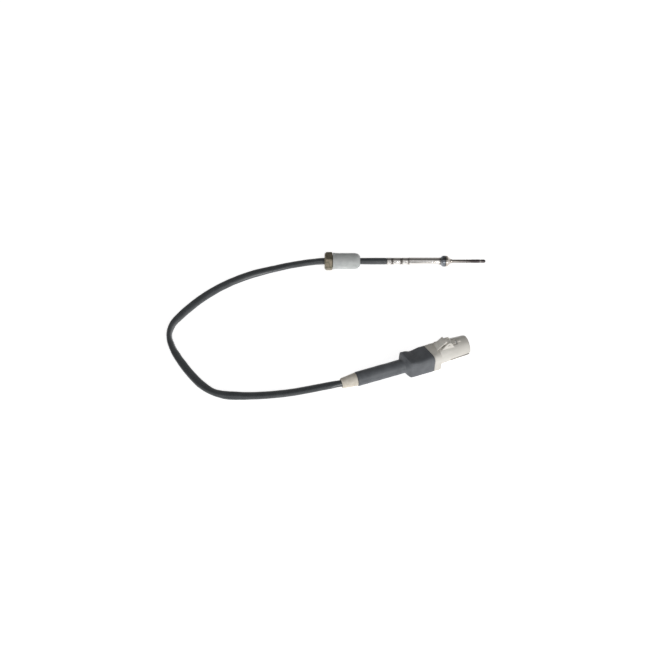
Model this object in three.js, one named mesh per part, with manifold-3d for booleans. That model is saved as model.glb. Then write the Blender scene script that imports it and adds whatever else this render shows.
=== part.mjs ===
// Flame sensor probe: a metal-sheathed sensing tip with a conical stop collar, a union nut that
// slides and turns on the probe, a sleeved lead and a latching two-pin connector.
// Millimetres. +X runs along the probe towards its tip, +Z is up, and the part lies on z = 0.

import * as THREE from 'three';
import * as BufferGeometryUtils from 'three/addons/utils/BufferGeometryUtils.js';
import Module from 'manifold-3d';

const wasm = await Module();
wasm.setup();

// ---------------------------------------------------------------- driving dimensions

const ACROSS_FLATS = 17;                      // hexagon of the union nut
const AXIS_HEIGHT = ACROSS_FLATS / 2;         // probe axis above the surface, the nut on a flat
const PROBE_LENGTH = 161;                     // rear face of the nut to the tip
const TIP_X = PROBE_LENGTH / 2;
const NUT_REAR_X = -PROBE_LENGTH / 2;

const SHEATH_R = 1.6;                         // mineral-insulated sheath
const SHEATH_BORE_R = 1.3;
const SHEATH_REAR_X = 28;
const SHEATH_FRONT_X = 60.5;
const CAPSULE_R = 1.65;                       // closed cap over the sensing element
const CAPSULE_BORE_R = 1.35;
const CORE_R = 1.1;                           // packed mineral round the two core wires
const CORE_WIRE_R = 0.2;
const CORE_WIRE_Y = 0.5;

const COLLAR_R = 5.6;                         // stop collar, its cone and its neck
const COLLAR_REAR_X = 35.5;
const CREST_REAR_X = 37.3;
const CREST_FRONT_X = 40.4;
const CONE_REAR_X = 42.2;
const CONE_REAR_R = 5.5;
const CONE_FRONT_X = 45.4;
const CONE_FRONT_R = 2.3;
const NECK_FRONT_X = 46.9;
const COLLAR_BORE_R = 1.85;

const TUBE_R = 3.75;                          // protection tube behind the collar
const TUBE_BORE_R = 3.35;
const TUBE_REAR_X = 3.2;
const CRIMP_R = 3.65;                         // crimped tube that holds the lead
const CRIMP_BORE_R = 3.15;
const CRIMP_REAR_X = -18.1;
const CRIMP_GROOVES_X = [-13, -3.8];
const GROOVE_DEPTH = 0.5;
const GROOVE_HALF_WIDTH = 0.9;

const WIRE_Y = 1.0;                           // splices and conductors, either side of the axis
const CONDUCTOR_R = 0.45;
const SPLICE_R = 0.85;
const SPLICE_BORE_R = 0.6;

const THREAD_R = 6.95;                        // M14 x 1.5 shank of the union nut
const THREAD_ROOT_R = 6.1;
const THREAD_PITCH = 1.5;
const THREAD_TURNS = 12;
const HEX_LENGTH = 8.1;
const NUT_NOSE_R = 5.9;
const NUT_NOSE_LENGTH = 5;
const NUT_BORE_R = 4.25;
const RING_POCKET_R = 5.1;
const RING_POCKET_DEPTH = 3;

const CAP_REAR_R = 8.4;                       // plastic thread cap pushed on the shank
const CAP_FRONT_R = 8.1;
const CAP_LENGTH = 27.2;
const CAP_WALL = 1.0;
const CAP_HOLE_R = 4.15;
const CAP_CORNER = 4.0;

const LEAD_SIDES = 12;                        // sleeved lead
const LEAD_SPANS = 58;

const PLUG_ORIGIN = [-65.3, -150.7, 8.8];     // rear end of the plug's axis
const PLUG_TURN_DEG = 19.2;                   // plug axis, turned from +X towards +Y
const PLUG_FOOT = -8.8;                       // underside of the plug, below its axis
const BOOT_LENGTH = 14.5;
const SHRINK_START = 14.8;
const SHRINK_R = 6.8;
const SHRINK_WALL = 0.7;
const FLANGE_END = 94.6;
const BARREL_END = 123.5;
const BARREL_Z = 5.2;                         // barrel axis above the plug's axis
const BARREL_REAR_R = 10.6;
const BARREL_FRONT_R = 9.4;
const LATCH_FLAT_Z = 14.4;                    // flat on the barrel's top, below the latch
const SOCKET_R = 8.1;
const RIM_R = 8.65;                           // outside of the flat rim round the socket's mouth
const SOCKET_FLOOR = 99;
const PIN_Y = 2.6;
const PIN_R = 1.0;
const PIN_END = 117;
const CAVITY_R = 1.95;                        // terminal and seal cavities behind the pins
const WINDOW_START = 105.6;                   // window in the barrel's top for the latch's tooth
const WINDOW_END = 112.2;
const PIVOT_U = 103.3;                        // latch trunnions
const PIVOT_Z = 17.2;
const TRUNNION_R = 0.9;
const CHEEK_R = 2.8;                          // top of the cheeks that carry the trunnions
const GAP = 0.3;                              // between pieces that touch

// ---------------------------------------------------------------- geometry helpers

const ROUND = 20;                             // sides of a round piece
const FINE = 24;                              // sides of a large round piece

// Turns the faces of a closed mesh outwards where its signed volume is negative.
function facingOut(geometry) {
  const bare = geometry.clone();
  bare.deleteAttribute('normal');
  bare.deleteAttribute('uv');
  const merged = BufferGeometryUtils.mergeVertices(bare, 1e-4);
  const position = merged.getAttribute('position');
  const index = Array.from(merged.getIndex().array);
  const corner = (i) => new THREE.Vector3().fromBufferAttribute(position, index[i]);
  const kept = [];
  let volume = 0;
  for (let i = 0; i < index.length; i += 3) {
    const [a, b, c] = [corner(i), corner(i + 1), corner(i + 2)];
    const flat = index[i] === index[i + 1] || index[i + 1] === index[i + 2] || index[i] === index[i + 2];
    if (flat) continue;
    volume += a.dot(b.cross(c));
    kept.push(index[i], index[i + 1], index[i + 2]);
  }
  if (volume < 0) kept.reverse();
  merged.setIndex(kept);
  merged.computeVertexNormals();
  return merged;
}

function toSolid(geometry) {
  const closed = facingOut(geometry);
  const vertProperties = new Float32Array(closed.getAttribute('position').array);
  const triVerts = new Uint32Array(closed.getIndex().array);
  return new wasm.Manifold(new wasm.Mesh({ numProp: 3, vertProperties, triVerts }));
}

function toGeometry(solid) {
  const mesh = solid.getMesh();
  const geometry = new THREE.BufferGeometry();
  const positions = new Float32Array(mesh.vertProperties);
  geometry.setAttribute('position', new THREE.BufferAttribute(positions, 3));
  geometry.setIndex(new THREE.BufferAttribute(new Uint32Array(mesh.triVerts), 1));
  geometry.computeVertexNormals();
  return geometry;
}

// A profile of [x, radius] points, turned round the X axis.
function turned(profile, sides = ROUND) {
  const points = profile.map(([x, radius]) => new THREE.Vector2(radius, x));
  const geometry = new THREE.LatheGeometry(points, sides);
  geometry.rotateZ(-Math.PI / 2);
  return facingOut(geometry);
}

function rod(startX, endX, radius, sides = ROUND) {
  return turned([[startX, 0], [startX, radius], [endX, radius], [endX, 0]], sides);
}

function pipe(startX, endX, radius, boreRadius, sides = ROUND) {
  const wall = [[startX, boreRadius], [startX, radius], [endX, radius], [endX, boreRadius]];
  return turned([...wall, wall[0]], sides);
}

// Points [along, across] of a quarter or longer arc, the angles in degrees.
function arc(centreA, centreB, radius, fromDeg, toDeg, steps) {
  const points = [];
  for (let i = 0; i <= steps; i += 1) {
    const angle = THREE.MathUtils.degToRad(fromDeg + (toDeg - fromDeg) * i / steps);
    points.push([centreA + radius * Math.cos(angle), centreB + radius * Math.sin(angle)]);
  }
  return points;
}

// An outline of [x, z] points, extruded along Y between two values of y.
function plate(outline, lowY, highY) {
  const shape = new THREE.Shape(outline.map(([x, z]) => new THREE.Vector2(x, z)));
  const geometry = new THREE.ExtrudeGeometry(shape, { depth: highY - lowY, bevelEnabled: false });
  geometry.rotateX(Math.PI / 2);
  geometry.translate(0, highY, 0);
  return facingOut(geometry);
}

function box(low, high) {
  const size = high.map((value, i) => value - low[i]);
  const middle = high.map((value, i) => (value + low[i]) / 2);
  return facingOut(new THREE.BoxGeometry(...size).translate(...middle));
}

// One ring of a loft: a rectangle in the YZ plane at x with corners of the given radius.
function roundedRing(x, [lowY, highY], [lowZ, highZ], radius, perCorner = 4) {
  const ring = [];
  for (const [signY, signZ, start] of [[1, 1, 0], [-1, 1, 90], [-1, -1, 180], [1, -1, 270]]) {
    const centreY = signY > 0 ? highY - radius : lowY + radius;
    const centreZ = signZ > 0 ? highZ - radius : lowZ + radius;
    for (const [y, z] of arc(centreY, centreZ, radius, start, start + 90, perCorner)) {
      ring.push(new THREE.Vector3(x, y, z));
    }
  }
  return ring;
}

// Skins a list of equal rings. A closed loft joins the last ring to the first; an open one is capped.
function loft(rings, closed = false) {
  const count = rings[0].length;
  const vertices = rings.flat();
  const triangles = [];
  const spans = closed ? rings.length : rings.length - 1;
  for (let i = 0; i < spans; i += 1) {
    const here = i * count;
    const next = ((i + 1) % rings.length) * count;
    for (let j = 0; j < count; j += 1) {
      const k = (j + 1) % count;
      triangles.push(here + j, here + k, next + k, here + j, next + k, next + j);
    }
  }
  if (!closed) {
    const last = (rings.length - 1) * count;
    for (let j = 1; j < count - 1; j += 1) {
      triangles.push(0, j + 1, j);
      triangles.push(last, last + j, last + j + 1);
    }
  }
  const geometry = new THREE.BufferGeometry().setFromPoints(vertices);
  geometry.setIndex(triangles);
  return facingOut(geometry);
}

// A round section swept along a smooth curve through the points.
function swept(points, radius, sides, steps) {
  const section = new THREE.Shape();
  for (let i = 0; i < sides; i += 1) {
    const angle = 2 * Math.PI * i / sides;
    const [x, y] = [radius * Math.cos(angle), radius * Math.sin(angle)];
    if (i === 0) section.moveTo(x, y);
    else section.lineTo(x, y);
  }
  section.closePath();
  const path = new THREE.CatmullRomCurve3(points.map((p) => new THREE.Vector3(...p)), false, 'centripetal');
  return facingOut(new THREE.ExtrudeGeometry(section, { steps, bevelEnabled: false, extrudePath: path }));
}

// ---------------------------------------------------------------- materials

function material(color, roughness, metalness) {
  return new THREE.MeshStandardMaterial({ color, roughness, metalness });
}

const heatTintedSteel = () => material(0x5f5a5c, 0.38, 0.9);
const steel = () => material(0xc9c7c4, 0.24, 1.0);
const sheathSteel = () => material(0x9a9894, 0.34, 0.95);
const yellowZinc = () => material(0x7d7255, 0.42, 0.85);
const blackSleeve = () => material(0x303437, 0.62, 0.0);
const blackShrink = () => material(0x34373a, 0.5, 0.0);
const blackRubber = () => material(0x1f2122, 0.75, 0.0);
const capPlastic = () => material(0xa9b0b2, 0.45, 0.0);
const creamRubber = () => material(0xd6cfc2, 0.6, 0.0);
const greyPlastic = () => material(0xcfccc2, 0.45, 0.0);
const insertPlastic = () => material(0xb9b6ae, 0.5, 0.0);
const tinnedBrass = () => material(0xb9b3a2, 0.3, 1.0);
const ceramic = () => material(0xe8e2d4, 0.7, 0.0);
const mineral = () => material(0xd9d6cf, 0.9, 0.0);
const nickelWire = () => material(0xa8a49c, 0.35, 1.0);
const insulation = (color) => material(color, 0.5, 0.0);
const sealRubber = () => material(0x8a4a34, 0.7, 0.0);

function piece(name, geometry, finish) {
  const mesh = new THREE.Mesh(geometry, finish);
  mesh.name = name;
  return mesh;
}

// ---------------------------------------------------------------- probe: fixed outer pieces

function tipCapsule() {
  const start = SHEATH_FRONT_X + GAP;
  const outer = arc(TIP_X - CAPSULE_R, 0, CAPSULE_R, 90, 0, 5);
  const inner = arc(TIP_X - 2, 0, CAPSULE_BORE_R, 0, 90, 3);
  outer[outer.length - 1][1] = 0;
  inner[0][1] = 0;
  const profile = [...inner, [start, CAPSULE_BORE_R], [start, CAPSULE_R], ...outer];
  return piece('tip_capsule', turned(profile), heatTintedSteel());
}

function sheath() {
  const tube = pipe(SHEATH_REAR_X, SHEATH_FRONT_X, SHEATH_R, SHEATH_BORE_R);
  return piece('sheath', tube, sheathSteel());
}

function seatCollar() {
  const spigotR = TUBE_BORE_R - 0.2;
  const spigotX = COLLAR_REAR_X - 4;
  const groove = CREST_FRONT_X + 0.3;
  const profile = [
    [spigotX, COLLAR_BORE_R],
    [spigotX, spigotR],
    [COLLAR_REAR_X, spigotR],
    [COLLAR_REAR_X, TUBE_R + 0.2],
    [CREST_REAR_X, COLLAR_R - 0.15],
    [CREST_REAR_X + 0.4, COLLAR_R],
    [CREST_FRONT_X, COLLAR_R],
    [groove, CONE_REAR_R - 0.25],
    [groove + 0.3, CONE_REAR_R],
    [CONE_REAR_X, CONE_REAR_R],
    [CONE_FRONT_X, CONE_FRONT_R],
    [CONE_FRONT_X + 0.5, 2.1],
    [NECK_FRONT_X, 2.05],
    [NECK_FRONT_X, COLLAR_BORE_R],
  ];
  return piece('seat_collar', turned([...profile, profile[0]], FINE), steel());
}

function frontTube() {
  const front = COLLAR_REAR_X - GAP;
  return piece('front_tube', pipe(TUBE_REAR_X, front, TUBE_R, TUBE_BORE_R), steel());
}

// The outline of a wall with a crimp groove at each of CRIMP_GROOVES_X.
function groovedLine(radius) {
  const line = [];
  for (const middle of CRIMP_GROOVES_X) {
    line.push([middle - GROOVE_HALF_WIDTH, radius]);
    line.push([middle - GROOVE_HALF_WIDTH / 3, radius - GROOVE_DEPTH]);
    line.push([middle + GROOVE_HALF_WIDTH / 3, radius - GROOVE_DEPTH]);
    line.push([middle + GROOVE_HALF_WIDTH, radius]);
  }
  return line;
}

function crimpTube() {
  const neckR = TUBE_BORE_R - 0.2;
  const neckBoreR = neckR - 0.45;
  const stepX = TUBE_REAR_X - GAP;
  const frontX = TUBE_REAR_X + 7;
  const outer = [[CRIMP_REAR_X, CRIMP_R], ...groovedLine(CRIMP_R), [stepX, CRIMP_R]];
  const neck = [[stepX, neckR], [frontX, neckR], [frontX, neckBoreR], [stepX - 0.5, neckBoreR]];
  const inner = [...groovedLine(CRIMP_BORE_R).reverse(), [CRIMP_REAR_X, CRIMP_BORE_R]];
  return piece('crimp_tube', turned([...outer, ...neck, ...inner, outer[0]]), steel());
}

// ---------------------------------------------------------------- probe: pieces inside

function sensingElement() {
  const profile = [[70, 0], [70, 0.6], [70.2, 0.8], [76.8, 0.8], [77, 0.6], [77, 0]];
  return piece('sensing_element', turned(profile, 12), ceramic());
}

function mineralCore() {
  const bar = toSolid(rod(SHEATH_REAR_X + 0.6, SHEATH_FRONT_X + 1.5, CORE_R, 16));
  const hole = toSolid(rod(SHEATH_REAR_X, SHEATH_FRONT_X + 2, CORE_WIRE_R + 0.13, 8));
  const cut = bar.subtract(hole.translate([0, CORE_WIRE_Y, 0])).subtract(hole.translate([0, -CORE_WIRE_Y, 0]));
  return piece('mineral_core', toGeometry(cut), mineral());
}

function coreWire(name, side) {
  const wide = side * WIRE_Y;
  const narrow = side * CORE_WIRE_Y;
  const route = [[16, wide, 0], [20, wide, 0], [23, wide, 0], [26, narrow, 0], [29, narrow, 0]];
  const straight = [[40, narrow, 0], [55, narrow, 0], [69.6, narrow, 0]];
  return piece(name, swept([...route, ...straight], CORE_WIRE_R, 6, 14), nickelWire());
}

function splice(name, side) {
  const barrel = pipe(10.9, 20, SPLICE_R, SPLICE_BORE_R, 12).translate(0, side * WIRE_Y, 0);
  return piece(name, barrel, tinnedBrass());
}

function spliceSleeve() {
  return piece('splice_sleeve', pipe(10.8, 22.5, TUBE_BORE_R - 0.25, 2.0, 16), ceramic());
}

function conductor(name, side, color) {
  const wire = rod(CRIMP_REAR_X + GAP, 15, CONDUCTOR_R, 10).translate(0, side * WIRE_Y, 0);
  return piece(name, wire, insulation(color));
}

function cableGrommet() {
  const radius = CRIMP_BORE_R - 0.2;
  const start = CRIMP_REAR_X + GAP;
  const end = -1;
  const profile = [[start, 0], [start, radius], ...groovedLine(radius), [end, radius], [end, 0]];
  const bush = toSolid(turned(profile, 20));
  const hole = toSolid(rod(start - 1, end + 1, CONDUCTOR_R + 0.12, 10));
  const cut = bush.subtract(hole.translate([0, WIRE_Y, 0])).subtract(hole.translate([0, -WIRE_Y, 0]));
  return piece('cable_grommet', toGeometry(cut), sealRubber());
}

// ---------------------------------------------------------------- union nut, its ring and its cap

const HEX_FRONT_X = NUT_REAR_X + HEX_LENGTH;
const THREAD_END_X = HEX_FRONT_X + THREAD_TURNS * THREAD_PITCH;
const NOSE_END_X = THREAD_END_X + NUT_NOSE_LENGTH;

// Hexagonal prism along X with two flats level, its rear corners chamfered.
function hexHead() {
  const cornerR = ACROSS_FLATS / Math.sqrt(3);
  const prism = new THREE.CylinderGeometry(cornerR, cornerR, HEX_LENGTH, 6);
  prism.rotateZ(-Math.PI / 2);
  prism.rotateX(Math.PI / 2);
  prism.translate(NUT_REAR_X + HEX_LENGTH / 2, 0, 0);
  const faceR = ACROSS_FLATS / 2 - 0.5;
  const chamfer = (cornerR + 0.2 - faceR) * 0.8;
  const limit = turned([
    [NUT_REAR_X, 0],
    [NUT_REAR_X, faceR],
    [NUT_REAR_X + chamfer, cornerR + 0.2],
    [HEX_FRONT_X - 0.6, cornerR + 0.2],
    [HEX_FRONT_X, ACROSS_FLATS / 2 - 0.2],
    [HEX_FRONT_X, 0],
  ], FINE);
  return toSolid(prism).intersect(toSolid(limit));
}

function threadedShank() {
  const profile = [[HEX_FRONT_X - 1, 0], [HEX_FRONT_X - 1, THREAD_ROOT_R]];
  for (let turn = 0; turn < THREAD_TURNS; turn += 1) {
    const start = HEX_FRONT_X + turn * THREAD_PITCH;
    profile.push([start, THREAD_ROOT_R], [start + THREAD_PITCH / 2, THREAD_R]);
  }
  profile.push([THREAD_END_X, NUT_NOSE_R], [NOSE_END_X - 1, NUT_NOSE_R], [NOSE_END_X, NUT_NOSE_R - 1]);
  profile.push([NOSE_END_X, 0]);
  return toSolid(turned(profile, ROUND));
}

function unionNut() {
  const bore = toSolid(rod(NUT_REAR_X - 1, NOSE_END_X + 1, NUT_BORE_R));
  const pocket = toSolid(rod(NUT_REAR_X - 1, NUT_REAR_X + RING_POCKET_DEPTH, RING_POCKET_R));
  const nut = hexHead().add(threadedShank()).subtract(bore).subtract(pocket);
  return piece('union_nut', toGeometry(nut), yellowZinc());
}

function keeperRing() {
  const start = NUT_REAR_X + 0.3;
  const end = NUT_REAR_X + RING_POCKET_DEPTH - GAP;
  const outerR = RING_POCKET_R - GAP;
  const innerR = TUBE_R + 0.25;
  const profile = [
    [start, innerR + 0.3],
    [start, outerR - 0.4],
    [start + 0.4, outerR],
    [end, outerR],
    [end, innerR],
    [start + 0.4, innerR],
  ];
  return piece('keeper_ring', turned([...profile, profile[0]]), blackRubber());
}

function threadCap() {
  const rear = HEX_FRONT_X + GAP;
  const front = rear + CAP_LENGTH;
  const inset = CAP_CORNER - CAP_WALL;
  const profile = [
    [rear, CAP_REAR_R - CAP_WALL],
    [rear, CAP_REAR_R],
    [rear + 1.2, CAP_REAR_R],
    ...arc(front - CAP_CORNER, CAP_FRONT_R - CAP_CORNER, CAP_CORNER, 90, 2, 6),
    [front, CAP_HOLE_R],
    [front - CAP_WALL, CAP_HOLE_R],
    ...arc(front - CAP_CORNER, CAP_FRONT_R - CAP_CORNER, inset, 10, 90, 4),
    [THREAD_END_X + 0.6, THREAD_R + 0.25],
  ];
  return piece('thread_cap', turned([...profile, profile[0]], FINE), capPlastic());
}

// ---------------------------------------------------------------- lead

const LEAD_ROUTE = [
  [-18.4, 0, 8.5],
  [-50, 0, 8.5],
  [-82, 0, 8.45],
  [-93, -0.3, 7.5],
  [-104.5, -1.2, 6.1],
  [-116.5, -2.7, 4.7],
  [-128, -5, 3.5],
  [-139.5, -8, 2.85],
  [-151, -12.1, 2.65],
  [-162, -17.1, 2.65],
  [-172.7, -23, 2.65],
  [-183, -29.8, 2.65],
  [-192.7, -37.5, 2.65],
  [-201.9, -46, 2.65],
  [-210.4, -55.3, 2.65],
  [-218.4, -65.5, 2.8],
  [-225.3, -76.6, 3.3],
  [-227.8, -89.5, 3.85],
  [-224.3, -103, 3.6],
  [-217.8, -115.4, 3.05],
  [-210.2, -126.9, 2.75],
  [-202.2, -137.5, 2.65],
  [-193.3, -147.3, 2.65],
  [-182.6, -155.3, 2.65],
  [-171, -159.1, 2.65],
  [-158, -160.1, 2.65],
  [-144, -159.9, 2.65],
  [-130, -159, 2.7],
  [-118, -157.7, 2.9],
  [-107, -156.3, 3.5],
  [-97, -155, 4.7],
  [-87, -153.8, 6.4],
  [-77.5, -152.7, 8],
  [-71.2, -151.7, 8.7],
  [-65.9, -150.7, 8.9],
];

// The lead's flat section: half width, half thickness and roll in degrees, from a point of the route on.
const LEAD_SECTIONS = [
  [0, 3.45, 3.3, 0],
  [2, 3.45, 3.2, 0],
  [3, 3.6, 2.7, -20],
  [5, 3.8, 2.5, -20],
  [7, 3.8, 2.5, -2],
  [14, 3.8, 2.5, 4],
  [15, 3.8, 2.5, -14],
  [16, 3.8, 2.5, -42],
  [17, 3.8, 2.5, -80],
  [18, 3.8, 2.5, -58],
  [19, 3.8, 2.5, -28],
  [20, 3.8, 2.5, -10],
  [22, 3.8, 2.5, 0],
  [26, 3.8, 2.5, -8],
  [32, 3.8, 2.5, -8],
  [34, 3.3, 3.0, 0],
];

function leadSection(place) {
  const next = LEAD_SECTIONS.findIndex((section) => section[0] >= place);
  if (next < 1) return LEAD_SECTIONS[0].slice(1);
  const [before, after] = [LEAD_SECTIONS[next - 1], LEAD_SECTIONS[next]];
  const share = (place - before[0]) / (after[0] - before[0]);
  return before.slice(1).map((value, i) => THREE.MathUtils.lerp(value, after[i + 1], share));
}

// An oval section that follows the route and rolls about it.
function leadCable() {
  const points = LEAD_ROUTE.map((p) => new THREE.Vector3(...p));
  const path = new THREE.CatmullRomCurve3(points, false, 'centripetal');
  const rings = [];
  for (let i = 0; i <= LEAD_SPANS; i += 1) {
    const centre = path.getPoint(i / LEAD_SPANS);
    const ahead = path.getTangent(i / LEAD_SPANS);
    const side = new THREE.Vector3(0, 0, 1).cross(ahead).normalize();
    const up = ahead.clone().cross(side);
    const [halfWidth, halfDepth, roll] = leadSection(i / LEAD_SPANS * (LEAD_ROUTE.length - 1));
    const turn = THREE.MathUtils.degToRad(roll);
    const broad = side.clone().multiplyScalar(Math.cos(turn)).addScaledVector(up, Math.sin(turn));
    const thin = up.clone().multiplyScalar(Math.cos(turn)).addScaledVector(side, -Math.sin(turn));
    const ring = [];
    for (let j = 0; j < LEAD_SIDES; j += 1) {
      const angle = 2 * Math.PI * j / LEAD_SIDES;
      const point = centre.clone().addScaledVector(broad, halfWidth * Math.cos(angle));
      ring.push(point.addScaledVector(thin, halfDepth * Math.sin(angle)));
    }
    rings.push(ring);
  }
  return piece('lead_cable', loft(rings), blackSleeve());
}

// ---------------------------------------------------------------- plug (its own axis is +X)

const BOOT_WIRE_Y = 1.3;
const PLUG_WIRE_R = 0.7;

function cableBoot() {
  const spigotR = SHRINK_R - SHRINK_WALL - 0.5;
  const spigotEnd = SHRINK_START + 9;
  const cone = turned([
    [0, 0],
    [0, 4.2],
    [0.6, 4.75],
    [6, 5.35],
    [BOOT_LENGTH - 0.8, 6.3],
    [BOOT_LENGTH, 6.0],
    [BOOT_LENGTH, spigotR],
    [spigotEnd, spigotR],
    [spigotEnd, 0],
  ]);
  const hole = toSolid(rod(-1, spigotEnd + 1, PLUG_WIRE_R + 0.15, 10));
  const left = hole.translate([0, BOOT_WIRE_Y, 0]);
  const right = hole.translate([0, -BOOT_WIRE_Y, 0]);
  return piece('cable_boot', toGeometry(toSolid(cone).subtract(left).subtract(right)), creamRubber());
}

// Sections of the square body: place along the plug, near and far side, underside, top, corner radius,
// lean (how far the far side leads, per millimetre across) and fall of the top towards the far side.
const REAR_SECTIONS = [
  [59.6, -7, 7, -7, 7.2, 5, 0.22, 0.1],
  [61.2, -9.2, 8.4, -8.4, 10.7, 3.8, 0.25, 0.4],
];
const BODY_SECTIONS = [
  [62.8, -10.5, 9.2, PLUG_FOOT, 12, 3, 0.25, 0.5],
  [72, -10.5, 9.2, PLUG_FOOT, 11.8, 3, 0.25, 2.9],
  [82, -10.5, 9.2, PLUG_FOOT, 12.7, 3, 0.25, 1.4],
  [84.8, -10.5, 9.2, PLUG_FOOT, 12.8, 3, 0.25, 1],
];

function sectionRing([x, lowY, highY, lowZ, highZ, corner, lean, fall], inset = 0, shift = 0) {
  const acrossY = [lowY + inset, highY - inset];
  const ring = roundedRing(x + shift, acrossY, [lowZ + inset, highZ - inset], Math.max(0.8, corner - inset));
  return ring.map((point) => {
    const across = (point.y - lowY) / (highY - lowY);
    const drop = point.z > 0 ? fall * across * point.z / highZ : 0;
    return new THREE.Vector3(point.x - lean * point.y, point.y, point.z - drop);
  });
}

// The heat-shrink sleeve's rings: round over the boot, then square over the plug's rear body.
function shrinkRings(inset) {
  const round = (x, radius) => {
    const outer = radius - inset;
    return roundedRing(x, [-outer, outer], [-outer, outer], outer - 0.01);
  };
  return [
    round(SHRINK_START, SHRINK_R - 0.25),
    round(SHRINK_START + 1, SHRINK_R),
    round(57.5, SHRINK_R),
    ...REAR_SECTIONS.map((section) => sectionRing(section, inset)),
    ...BODY_SECTIONS.map((section) => sectionRing(section, inset)),
  ];
}

function heatShrink() {
  const rings = [...shrinkRings(0), ...shrinkRings(SHRINK_WALL).reverse()];
  return piece('heat_shrink', loft(rings, true), blackShrink());
}

function plugWire(name, side, color) {
  const route = [
    [GAP, side * BOOT_WIRE_Y, 0],
    [20, side * BOOT_WIRE_Y, 0],
    [42, side * BOOT_WIRE_Y, 0],
    [50, side * (BOOT_WIRE_Y + 0.3), 0.8],
    [58, side * (PIN_Y - 0.3), 4],
    [63, side * PIN_Y, BARREL_Z],
    [68, side * PIN_Y, BARREL_Z],
    [75.5, side * PIN_Y, BARREL_Z],
  ];
  return piece(name, swept(route, PLUG_WIRE_R, 8, 16), insulation(color));
}

// Rear block, flange and barrel in one moulding, with the cheeks that carry the latch.
function plugHousing() {
  const inset = SHRINK_WALL + 0.25;
  const topSlack = 0.65;
  const lowered = ([x, lowY, highY, lowZ, highZ, ...rest]) => [x, lowY, highY, lowZ, highZ - topSlack, ...rest];
  const [rear, dip, rise, front] = BODY_SECTIONS.map(lowered);
  const start = rear.map((value, i) => THREE.MathUtils.lerp(value, dip[i], 0.2));
  const body = loft([
    sectionRing(start, inset + 0.8, -0.8),
    sectionRing(start, inset),
    sectionRing(dip, inset),
    sectionRing(rise, inset),
    sectionRing(front, inset, 1),
  ]);
  const square = [-10.6, 9.2, PLUG_FOOT, 12.8];
  const flange = loft([
    sectionRing(BODY_SECTIONS[3], 0.5, GAP),
    sectionRing(BODY_SECTIONS[3], 0, 0.8),
    sectionRing([FLANGE_END - 0.6, ...square, 2.6, 0, 0.6]),
    sectionRing([FLANGE_END, ...square, 2.4, 0, 0.6], 0.6),
  ]);
  const barrel = turned([
    [FLANGE_END - 0.5, 0],
    [FLANGE_END - 0.5, BARREL_REAR_R - 0.4],
    [FLANGE_END, BARREL_REAR_R],
    [BARREL_END - 2, BARREL_FRONT_R],
    [BARREL_END - 0.8, BARREL_FRONT_R - 0.2],
    [BARREL_END - 0.2, BARREL_FRONT_R - 0.5],
    [BARREL_END, RIM_R],
    [BARREL_END, 0],
  ], FINE).translate(0, 0, BARREL_Z);
  const socket = rod(SOCKET_FLOOR, BARREL_END + 1, SOCKET_R, FINE).translate(0, 0, BARREL_Z);
  let solid = toSolid(body).add(toSolid(flange)).add(toSolid(barrel).subtract(latchFlat())).add(latchStop());
  for (const side of [-1, 1]) {
    solid = solid.add(latchCheek(side));
  }
  solid = solid.subtract(toSolid(socket)).subtract(latchWindow());
  for (const side of [-1, 1]) {
    solid = solid.subtract(terminalCavity(side)).subtract(keySlot(side));
  }
  return piece('plug_housing', toGeometry(solid.subtract(trunnionHole())), greyPlastic());
}

// Triangular cheek on the barrel, with a round top about the latch pivot.
function latchCheek(side) {
  const outline = [
    [PIVOT_U - 7.7, BARREL_Z + 7.8],
    [PIVOT_U + 5.3, BARREL_Z + 7.8],
    ...arc(PIVOT_U, PIVOT_Z, CHEEK_R, 35, 145, 6),
  ];
  const [near, far] = [3.1, 4.7];
  return toSolid(side > 0 ? plate(outline, near, far) : plate(outline, -far, -near));
}

function latchFlat() {
  return toSolid(box([FLANGE_END - 1, -5.5, LATCH_FLAT_Z], [WINDOW_START + 0.5, 5.5, LATCH_FLAT_Z + 3]));
}

// Low block on the barrel in front of the window.
function latchStop() {
  return toSolid(box([WINDOW_END + 0.8, -1.3, BARREL_Z + 8.5], [WINDOW_END + 4, 1.3, BARREL_Z + 10.5]));
}

function latchWindow() {
  return toSolid(box([WINDOW_START, -2.9, BARREL_Z + 4], [WINDOW_END, 2.9, BARREL_Z + 12]));
}

function trunnionHole() {
  const hole = new THREE.CylinderGeometry(TRUNNION_R + GAP, TRUNNION_R + GAP, 12, 12);
  return toSolid(hole.translate(PIVOT_U, 0, PIVOT_Z));
}

function terminalCavity(side) {
  const cavity = rod(61.5, SOCKET_FLOOR + 1, CAVITY_R, 16);
  return toSolid(cavity.translate(0, side * PIN_Y, BARREL_Z));
}

// Open-ended slot through the barrel's wall, below the middle of each side, that keys the mating plug.
function keySlot(side) {
  const slot = box([BARREL_END - 20, SOCKET_R - 1, -1.5], [BARREL_END + 1, BARREL_REAR_R + 1, 1.5]);
  const lowered = side > 0 ? -17 : 180 + 17;
  slot.rotateX(THREE.MathUtils.degToRad(lowered));
  return toSolid(slot.translate(0, 0, BARREL_Z));
}

function terminalLock() {
  const disc = toSolid(rod(SOCKET_FLOOR + GAP, SOCKET_FLOOR + 4, SOCKET_R - GAP, FINE));
  const hole = toSolid(rod(SOCKET_FLOOR - 1, SOCKET_FLOOR + 6, 1.5, 16));
  const cut = disc.subtract(hole.translate([0, PIN_Y, 0])).subtract(hole.translate([0, -PIN_Y, 0]));
  return piece('terminal_lock', toGeometry(cut.translate([0, 0, BARREL_Z])), insertPlastic());
}

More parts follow.
